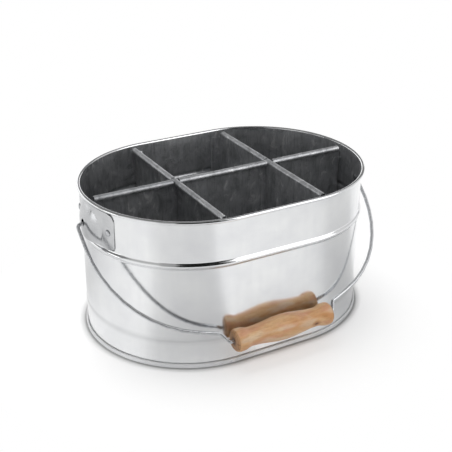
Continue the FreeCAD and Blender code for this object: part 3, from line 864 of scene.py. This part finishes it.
# %% Grip
GRIP_BELLY, GRIP_WAIST, GRIP_BULGE = 10.4, 7.7, 9.4      # radii of the wood
WAIST_PLACE, BULGE_PLACE = 30.5, 39.5                    # from the grip's middle
GRIP_EDGE, BORE = 3.5, 1.65


def turned(name, sides, inside, steps, finish, place=Matrix()):
    """An outline of (radius, along) turned round X; the lathe's path runs at the radius inside."""
    outline = [(radius - inside, along) for radius, along in sides]
    z_to_x = Matrix.Rotation(math.radians(90), 4, "Y")
    return grow(section_object(name, outline), tub_sweep, {
        "Round end radius": metres(inside),
        "Half straight": 0.0,
        "Steps": steps,
        "Material": finish,
    }, place @ z_to_x)


def s_bend(run, drop):
    """Radius and turn of two equal arcs that step a line sideways by drop over a length of run."""
    turn = 2 * math.atan(drop / run)
    return run / 2 / math.sin(turn), math.degrees(turn)


bulge_radius, bulge_turn = s_bend(BULGE_PLACE - WAIST_PLACE, GRIP_BULGE - GRIP_WAIST)
belly_radius, belly_turn = s_bend(WAIST_PLACE, GRIP_BELLY - GRIP_WAIST)
half_grip = bent((GRIP_HALF, BORE), 90, [
    ("go", GRIP_BULGE - GRIP_EDGE - BORE),
    ("left", GRIP_EDGE, 90),
    ("go", GRIP_HALF - GRIP_EDGE - BULGE_PLACE),
    ("left", bulge_radius, bulge_turn),
    ("right", bulge_radius, bulge_turn),
    ("right", belly_radius, belly_turn),
    ("left", belly_radius, belly_turn),
])
grip_sides = [(radius, along) for along, radius in half_grip]
grip_sides += [(radius, -along) for along, radius in half_grip[-2::-1]]
wood_grip = turned("wood_grip_turned", grip_sides, inside=6.0, steps=96, finish=oiled_wood,
                   place=Matrix.Translation(GRIP_AXIS))
fitted(wood_grip, "grip", "wood_grip")

# %% [markdown]
# ## The rivets of the ears
#
# Each ear is held by two round-head rivets, closed on the inside of the tub.  One rivet is turned on
# the same lathe, and an instance of it is set on each place, turned square to the wall.  Their heads
# stand 1.2 mm proud and catch a small ring of light.

# %% One rivet
RIVET_SHANK, RIVET_HEAD, RIVET_TAIL = 1.5, 2.8, 2.3      # radii
HEAD_RISE, TAIL_RISE = 1.2, 0.9
EAR_GAUGE = 0.8
EAR_FACE = WALL_RADIUS + SHEET / 2 + CLEARANCE + EAR_GAUGE + CLEARANCE     # under a rivet's head
WALL_FACE = WALL_RADIUS - SHEET / 2 - CLEARANCE          # under a rivet's tail
RIVET_PLACE = 87.0                                       # a rivet's own middle, from the end's centre
RIVET_AXIS = 0.02                                        # the outline starts this near the axis

head = [(RIVET_HEAD * math.cos(turn), EAR_FACE + HEAD_RISE * math.sin(turn))
        for turn in [math.radians(degrees) for degrees in range(0, 90, 6)]]
rivet_sides = [
    (RIVET_AXIS, WALL_FACE - TAIL_RISE),
    (RIVET_TAIL, WALL_FACE - TAIL_RISE),
    (RIVET_TAIL, WALL_FACE),
    (RIVET_SHANK, WALL_FACE),
    (RIVET_SHANK, EAR_FACE),
    *head,
    (RIVET_AXIS, EAR_FACE + HEAD_RISE),
]
rivet = turned("rivet_turned", [(radius, along - RIVET_PLACE) for radius, along in rivet_sides],
               inside=1.0, steps=34, finish=rivet_steel)

# %% Rivets in their places
RIVET_LEVEL = 107.5
RIVET_TURN = math.radians(19.0)                          # round the tub's end, from its tip


def set_rivets():
    """An instance of a turned rivet on each point, its axis square to the tub's round end."""
    tree, given = new_tree("set_rivets", {
        "Material": "NodeSocketMaterial",
        "Rivet": "NodeSocketObject",
        "End centre": "NodeSocketVector",
    })
    place = add_node(tree, "GeometryNodeInputPosition").outputs[0]
    out = add_node(tree, "ShaderNodeVectorMath", {0: place, 1: given["End centre"]}, operation="SUBTRACT")
    squared = add_node(tree, "FunctionNodeAlignRotationToVector", {"Vector": out.outputs[0]}, axis="X")
    rivet_shape = add_node(tree, "GeometryNodeObjectInfo", {"Object": given["Rivet"]}).outputs["Geometry"]
    placed = add_node(tree, "GeometryNodeInstanceOnPoints", {
        "Points": given["Geometry"],
        "Instance": rivet_shape,
        "Rotation": squared.outputs[0],
    }).outputs[0]
    return finish_tree(tree, placed, given["Material"])


def points_object(name, places):
    """A mesh object that holds single points at places given in millimetres."""
    mesh = bpy.data.meshes.new(name)
    mesh.from_pydata([metres(*place) for place in places], [], [])
    return new_object(name, mesh)


rivet_setting = set_rivets()
for side, way in (("left", -1), ("right", 1)):
    centre = (way * STRAIGHT, TUB_PLACE, RIVET_LEVEL)
    out, across = RIVET_PLACE * math.cos(RIVET_TURN), RIVET_PLACE * math.sin(RIVET_TURN)
    places = [(way * (STRAIGHT + out), TUB_PLACE + step, RIVET_LEVEL) for step in (-across, across)]
    rivets = grow(points_object(side + "_rivets_set", places), rivet_setting,
                  {"Material": rivet_steel, "Rivet": rivet, "End centre": metres(*centre)})
    fitted(rivets, "tub", side + "_ear_rivets")
bpy.data.objects.remove(rivet)

# %% [markdown]
# ## Pieces that keep their CAD shape
#
# The dividers and the pressed ears have the right shape already, but a CAD mesh is loose triangles,
# which shade flat.  A copy of it is merged along its edges and shaded smooth, so that long bends
# reflect as one surface, and the copy stands for the node.

# %% Dividers
CAD_SHARP_BEND = 30


def smoothed(node, finish):
    """A merged and smoothly shaded copy of a node of the tub, in one finish."""
    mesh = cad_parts[node].data.copy()
    mesh.materials.clear()
    mesh.materials.append(finish)
    piece = dressed(node + "_smooth", mesh, CAD_SHARP_BEND)
    fitted(piece, "tub", node)
    return piece


for place in ("long", "front_left", "front_right", "rear_left", "rear_right"):
    smoothed(place + "_divider", divider_sheet)

# %% [markdown]
# ## The ears, their sheared edges and a painted shade line
#
# The ears were sheared after tinning, so their edges and the holes for the wire are bare steel, and
# their dark finish is also painted shade for the gap between ear and wall.  The faces that stand square
# to the wall get this finish.  The edges where the front meets them are marked, and Geometry Nodes
# sweep a thin dark round strip along the marked edges: painted shade that thickens that shadow line.

# %% Ears
SQUARE_ON = 0.2              # a face is square to the wall if its normal leans out less than this
STRAIGHT_DOWN = -0.9         # a face whose normal points lower than this is the ear's foot, still tinned
FLAT_OUT = 1.6               # the flat of an ear lies this near the wall, and the pocket further out
# radius of the thin dark strip of painted shade round each ear's front
SHADE_LINE_RADIUS = 0.42


def edged(mesh, finish):
    """Give a second finish, bare steel and painted shade, to the faces that stand square to the tub's round
    end.
    """
    mesh.materials.append(finish)
    for face in mesh.polygons:
        lean = face.normal.dot(way_out(face.center).normalized())
        if abs(lean) < SQUARE_ON and face.normal.z > STRAIGHT_DOWN:
            face.material_index = 1


def on_front(face):
    """Whether a face lies on the flat front of an ear."""
    out = way_out(face.center)
    return out.length < metres(WALL_RADIUS + FLAT_OUT) and face.normal.dot(out.normalized()) > SQUARE_ON


def mark_rim(mesh):
    """Mark the edges where the ear's front meets its sheared edge, and count them."""
    neighbours = {}
    for face in mesh.polygons:
        for key in face.edge_keys:
            neighbours.setdefault(key, []).append(face)
    marks = []
    for edge in mesh.edges:
        faces = neighbours[edge.key]
        tinned = [face for face in faces if face.material_index == 0]
        marks.append(len(faces) == 2 and len(tinned) == 1 and on_front(tinned[0]))
    mesh.attributes.new("rim", "BOOLEAN", "EDGE").data.foreach_set("value", marks)
    return sum(marks)


print("the burr is", 2 * SHADE_LINE_RADIUS, "mm thick")

# %% The painted shade line round each ear
def painted_shade_line_sweep():
    """Sweep a thin dark round strip of painted shade along the edges that carry the rim mark."""
    tree, given = new_tree("burr_along_the_sheared_edge", {
        "Material": "NodeSocketMaterial",
        "Burr radius": "NodeSocketFloat",
        "Sides": "NodeSocketInt",
    })
    marked = add_node(tree, "GeometryNodeInputNamedAttribute", {"Name": "rim"}, data_type="BOOLEAN")
    line = add_node(tree, "GeometryNodeMeshToCurve", {
        "Mesh": given["Geometry"],
        "Selection": marked.outputs["Attribute"],
    }).outputs[0]
    shade_line = round_along(tree, line, given["Burr radius"], given["Sides"])
    return finish_tree(tree, shade_line, given["Material"])


shade_line_tree = painted_shade_line_sweep()
for side in ("left", "right"):
    ear = smoothed(side + "_ear", pressed_tinplate)
    edged(ear.data, bare_edge_and_painted_shade)
    print(side, "ear has", mark_rim(ear.data), "edges on its sheared front rim")
    # a thin dark strip of painted shade along each ear's front rim
    shade_line = grow(new_object(side + "_ear_burr", ear.data.copy()), shade_line_tree,
                {"Material": bare_edge_and_painted_shade, "Burr radius": metres(SHADE_LINE_RADIUS), "Sides": 8})
    fitted(shade_line, "tub", side + "_ear")

# %% [markdown]
# ## What the metal sees
#
# Polished metal shows what stands around it, so the surroundings matter as much as the lamps.  A
# stage piece is a flat sheet that is turned to face a point.  It isn't part of the object.

# %% Stage helpers
WHITE = (1, 1, 1, 1)


def stage_plane(name, size, place, turn, material):
    """A flat stage piece, drawn in the XY plane, turned, and set in its place."""
    mesh = bpy.data.meshes.new(name)
    corners = [(x * size[0] / 2, y * size[1] / 2, 0) for x, y in ((-1, -1), (1, -1), (1, 1), (-1, 1))]
    mesh.from_pydata(corners, [], [(0, 1, 2, 3)])
    mesh.materials.append(material)
    mesh.transform(Matrix.LocRotScale(Vector(place), turn, None))
    made = new_object(name, mesh)
    return made


def facing(place, aim):
    """The turn that makes a flat piece at place look at aim."""
    return (Vector(aim) - Vector(place)).to_track_quat("Z", "Y")


# %% [markdown]
# ## The floor
#
# The floor is matt white and keeps the soft shadow at the tub's foot, deepened by a painted contact shadow;
# further out it is plain white.
# It plays two parts: the camera sees it lifted to white, and the tub's mirror sees it brighter or
# darker by its azimuth round the tub, as a real room would light it.  Light Path tells them apart.

# %% The floor's tones
CAMERA_GLOW = 0.39           # lifts the floor to white for the camera, and leaves its shadow
FOOT_GLOW = 0.36             # lifts the floor at the tub's foot for the mirror alone
FLOOR_TONES = (              # degrees round the tub, -90 in front of it, and how bright the floor is there
    (-180, 0.28), (-172, 0.31), (-163, 0.34), (-150, 0.16), (-140, 0.06), (-120, 0.03), (-108, 0.05),
    (-99, 0.18), (-91, 0.38), (-84, 0.36), (-68, 0.32), (-55, 0.20), (-30, 0.0), (-15, 0.05), (0, 0.4),
    (60, 0.44), (120, 0.24), (140, 0.05), (155, 0.14), (170, 0.25), (180, 0.31),
)


def round_the_tub(tree):
    """The way along the tub, the distance outside its wall, and the floor's tone at that azimuth."""
    place = add_node(tree, "ShaderNodeTexCoord").outputs["Object"]
    middle = metres(0, TUB_PLACE, 0)
    from_tub = add_node(tree, "ShaderNodeVectorMath", {0: place, 1: middle}, operation="SUBTRACT")
    parts = add_node(tree, "ShaderNodeSeparateXYZ", {"Vector": from_tub.outputs[0]}).outputs
    aside = add_node(tree, "ShaderNodeMath", {0: parts["X"]}, operation="ABSOLUTE").outputs[0]
    past = add_node(tree, "ShaderNodeMath", {0: aside, 1: metres(STRAIGHT)}, operation="SUBTRACT")
    past_straight = add_node(tree, "ShaderNodeMath", {0: past.outputs[0], 1: 0.0}, operation="MAXIMUM")
    from_end = add_node(tree, "ShaderNodeCombineXYZ", {
        "X": past_straight.outputs[0],
        "Y": parts["Y"],
    }).outputs[0]
    reach = add_node(tree, "ShaderNodeVectorMath", {0: from_end}, operation="LENGTH").outputs["Value"]
    outside = add_node(tree, "ShaderNodeMath", {0: reach, 1: metres(WALL_RADIUS)}, operation="SUBTRACT")

    azimuth = add_node(tree, "ShaderNodeMath", {0: parts["Y"], 1: parts["X"]}, operation="ARCTAN2")
    share = add_node(tree, "ShaderNodeMapRange", {
        "Value": azimuth.outputs[0],
        "From Min": -math.pi,
        "From Max": math.pi,
    }).outputs["Result"]
    tones = add_node(tree, "ShaderNodeFloatCurve", {"Value": share})
    curve = tones.mapping.curves[0]
    while len(curve.points) < len(FLOOR_TONES):
        curve.points.new(0.5, 0.5)
    for point, (angle, tone) in zip(curve.points, FLOOR_TONES):
        point.location = ((angle + 180) / 360, tone)
    tones.mapping.update()
    return parts["X"], outside.outputs[0], tones.outputs[0]


def floor_fades(tree, along, outside):
    """Strengths that change over a stretch of the floor, by name."""
    fades = {}
    for name, distance, start, end, low, high in (     # start and end in millimetres
        ("foot", outside, 0, 50, FOOT_GLOW, 0.0),              # a glow that the seam mirrors,
        ("left", along, -140, -70, 0.3, 1.0),                  # weaker towards the left
        ("right", along, -20, 40, 1.0, 0.4),                   # and towards the right
        # painted contact shadow: the camera's glow fades out near the wall
        ("painted_contact_shadow", outside, 2.5, 8.5, 0.0, CAMERA_GLOW),      # dark where the tub touches
        ("to white", outside, 5, 105, 0.0, 1.0),               # plain white, for the camera
        ("far", outside, 160, 320, 0.0, 1.0),                  # plain white, for all the rest
    ):
        fades[name] = add_node(tree, "ShaderNodeMapRange", {
            "Value": distance,
            "From Min": metres(start),
            "From Max": metres(end),
            "To Min": low,
            "To Max": high,
        }).outputs["Result"]
    return fades


print("the floor has", len(FLOOR_TONES), "tones round the tub")

# %% Floor
def white_floor():
    """Matt white that takes the shadow near the tub, is plain white far off, and lights the mirror."""
    material, tree = new_material("white_studio_floor")
    along, outside, tone = round_the_tub(tree)
    ray = add_node(tree, "ShaderNodeLightPath").outputs
    known = {"tone": tone, "camera": ray["Is Camera Ray"], "glossy": ray["Is Glossy Ray"]}
    known.update(floor_fades(tree, along, outside))
    for result, operation, *sources in (
        ("ends", "MULTIPLY", "left", "right"),
        ("mirrored", "MULTIPLY_ADD", "foot", "ends", "tone"),
        ("seen", "MULTIPLY", "camera", "painted_contact_shadow"),
        ("glow", "MULTIPLY_ADD", "glossy", "mirrored", "seen"),
        ("seen white", "MULTIPLY", "camera", "to white"),
        ("white", "MAXIMUM", "far", "seen white"),
    ):
        inputs = {number: known[source] for number, source in enumerate(sources)}
        known[result] = add_node(tree, "ShaderNodeMath", inputs, operation=operation).outputs[0]

    # painted contact shadow: the floor's colour darkens within 2.6 to 4.2 mm of the wall
    painted_contact_shadow = laid_over(tree, colour("#b0b0b0"), colour("#dcdcdc"), outside, metres(2.6, 4.2))
    matt = add_node(tree, "ShaderNodeBsdfDiffuse", {"Color": painted_contact_shadow}).outputs[0]
    lit = add_node(tree, "ShaderNodeEmission", {"Color": WHITE, "Strength": known["glow"]}).outputs[0]
    near_floor = add_node(tree, "ShaderNodeAddShader", {0: matt, 1: lit}).outputs[0]
    far_floor = add_node(tree, "ShaderNodeEmission", {"Color": WHITE, "Strength": 1.0}).outputs[0]
    both = add_node(tree, "ShaderNodeMixShader", {0: known["white"], 1: near_floor, 2: far_floor})
    add_node(tree, "ShaderNodeOutputMaterial", {"Surface": both.outputs[0]})
    return material


floor = stage_plane("studio_floor", (6, 6), (0, 0, 0), None, white_floor())
print(floor.name, "is", round(floor.dimensions.x, 1), "m wide")

# %% [markdown]
# ## Backdrop, cards and flag
#
# A white backdrop stands behind the tub.  Cards stand round it: a lit white one at the right front
# makes the bright lines in the beads and the wall, greyer ones fill the sides, a small low one stands
# in for a window, and a black flag in front gives the beads their dark lines.  All of them but the
# backdrop are seen by the metal alone, so they never show in a picture or throw a shadow.

# %% Cards
CARD_FOOT, CARD_UP = metres(100, 750)        # a card's glow changes between these heights, if it does


def plain_card(name, code, glow, floor_glow=None):
    """A matt card of one colour that glows, if wanted with another glow at its foot."""
    material, tree = new_material(name)
    matt = add_node(tree, "ShaderNodeBsdfDiffuse", {"Color": colour(code)}).outputs[0]
    if floor_glow is not None:
        place = add_node(tree, "ShaderNodeTexCoord").outputs["Object"]
        glow = add_node(tree, "ShaderNodeMapRange", {
            "Value": add_node(tree, "ShaderNodeSeparateXYZ", {"Vector": place}).outputs["Z"],
            "From Min": CARD_FOOT,
            "From Max": CARD_UP,
            "To Min": floor_glow,
            "To Max": glow,
        }).outputs["Result"]
    lit = add_node(tree, "ShaderNodeEmission", {"Color": WHITE, "Strength": glow}).outputs[0]
    both = add_node(tree, "ShaderNodeAddShader", {0: matt, 1: lit}).outputs[0]
    add_node(tree, "ShaderNodeOutputMaterial", {"Surface": both})
    return material


BACKDROP_PLACE = (0.1, 1.6, 0.33)
stage_plane("white_backdrop", (5.2, 0.64), BACKDROP_PLACE, facing(BACKDROP_PLACE, (0.1, 0, 0.33)),
            plain_card("lit_white_backdrop", "#f0f0f0", 0.7))
for name, cloth, size, place, code, glow, floor_glow in (     # width and height, and place, in metres
    ("black_flag", "black_flag_cloth", (1.243, 2.0), (-0.337, -1.311, 1.0), "#1c1c1c", 0.0, None),
    ("white_card", "lit_white_card", (0.9, 2.6), (0.84, -1.05, 1.35), "#f0f0f0", 1.15, None),
    ("left_card", "lit_left_card", (0.9, 1.4), (-1.30, -0.36, 0.7), "#3c3c3c", 0.5, 0.95),
    ("window_card", "lit_window_card", (0.42, 0.3), (-1.38, 0.36, 0.16), "#f0f0f0", 1.4, None),
    ("right_card", "lit_right_card", (1.1, 2.6), (1.32, -0.21, 1.35), "#3c3c3c", 0.7, None),
    ("corner_card", "lit_corner_card", (0.404, 2.0), (-0.995, -0.912, 1.0), "#3c3c3c", 0.36, None),
):
    finish = plain_card(cloth, code, glow, floor_glow)
    card = stage_plane(name, size, place, facing(place, (0, 0, place[2])), finish)
    card.visible_camera = card.visible_diffuse = card.visible_shadow = False      # only the metal sees it
    print(card.name, "stands", round(math.hypot(place[0], place[1]), 2), "m from the tub")

# %% [markdown]
# ## The room
#
# The world is a dim grey room for the object and its mirror, and white for the camera, so that the
# picture's ground stays clean.

# %% Room
ROOM = 0.22


def studio_world():
    """A grey room that the camera sees as white."""
    world = bpy.data.worlds.new("grey_studio")
    world.use_nodes = True
    tree = world.node_tree
    tree.nodes.clear()
    strength = add_node(tree, "ShaderNodeMapRange", {
        "Value": add_node(tree, "ShaderNodeLightPath").outputs["Is Camera Ray"],
        "To Min": ROOM,
        "To Max": 1.0,
    }).outputs["Result"]
    back = add_node(tree, "ShaderNodeBackground", {"Color": WHITE, "Strength": strength}).outputs[0]
    add_node(tree, "ShaderNodeOutputWorld", {"Surface": back})
    return world


bpy.context.scene.world = studio_world()
print("the room's grey is", ROOM)

# %% [markdown]
# ## Lamps
#
# A large soft box above the tub and a little behind it lights the wood and the floor and lays a
# short shadow forward.  A weaker one in front fills it.  The metal doesn't mirror them: its white
# lines come from the cards.

# %% Lamps
LAMP_AIM = (0, 0, 0.06)


def soft_box(name, place, size, power):
    """A rectangular soft box that looks at the tub and that no mirror shows."""
    lamp = bpy.data.lights.new(name, "AREA")
    lamp.shape = "RECTANGLE"
    lamp.size, lamp.size_y = size
    lamp.energy = power
    made = new_object(name, lamp)
    made.visible_glossy = False
    half_turn = Matrix.Rotation(math.pi, 3, "X").to_quaternion()          # a lamp shines along its own -Z
    made.matrix_world = Matrix.LocRotScale(Vector(place), facing(place, LAMP_AIM) @ half_turn, None)
    return made


for lamp in (
    soft_box("key_soft_box", (-0.12, 0.55, 1.5), (1.4, 1.2), 17),
    soft_box("front_fill_soft_box", (-0.3, -0.85, 1.2), (1.0, 0.8), 6.5),
):
    print(lamp.name, "gives", lamp.data.energy, "W")
bpy.context.scene.view_settings.view_transform = "Standard"
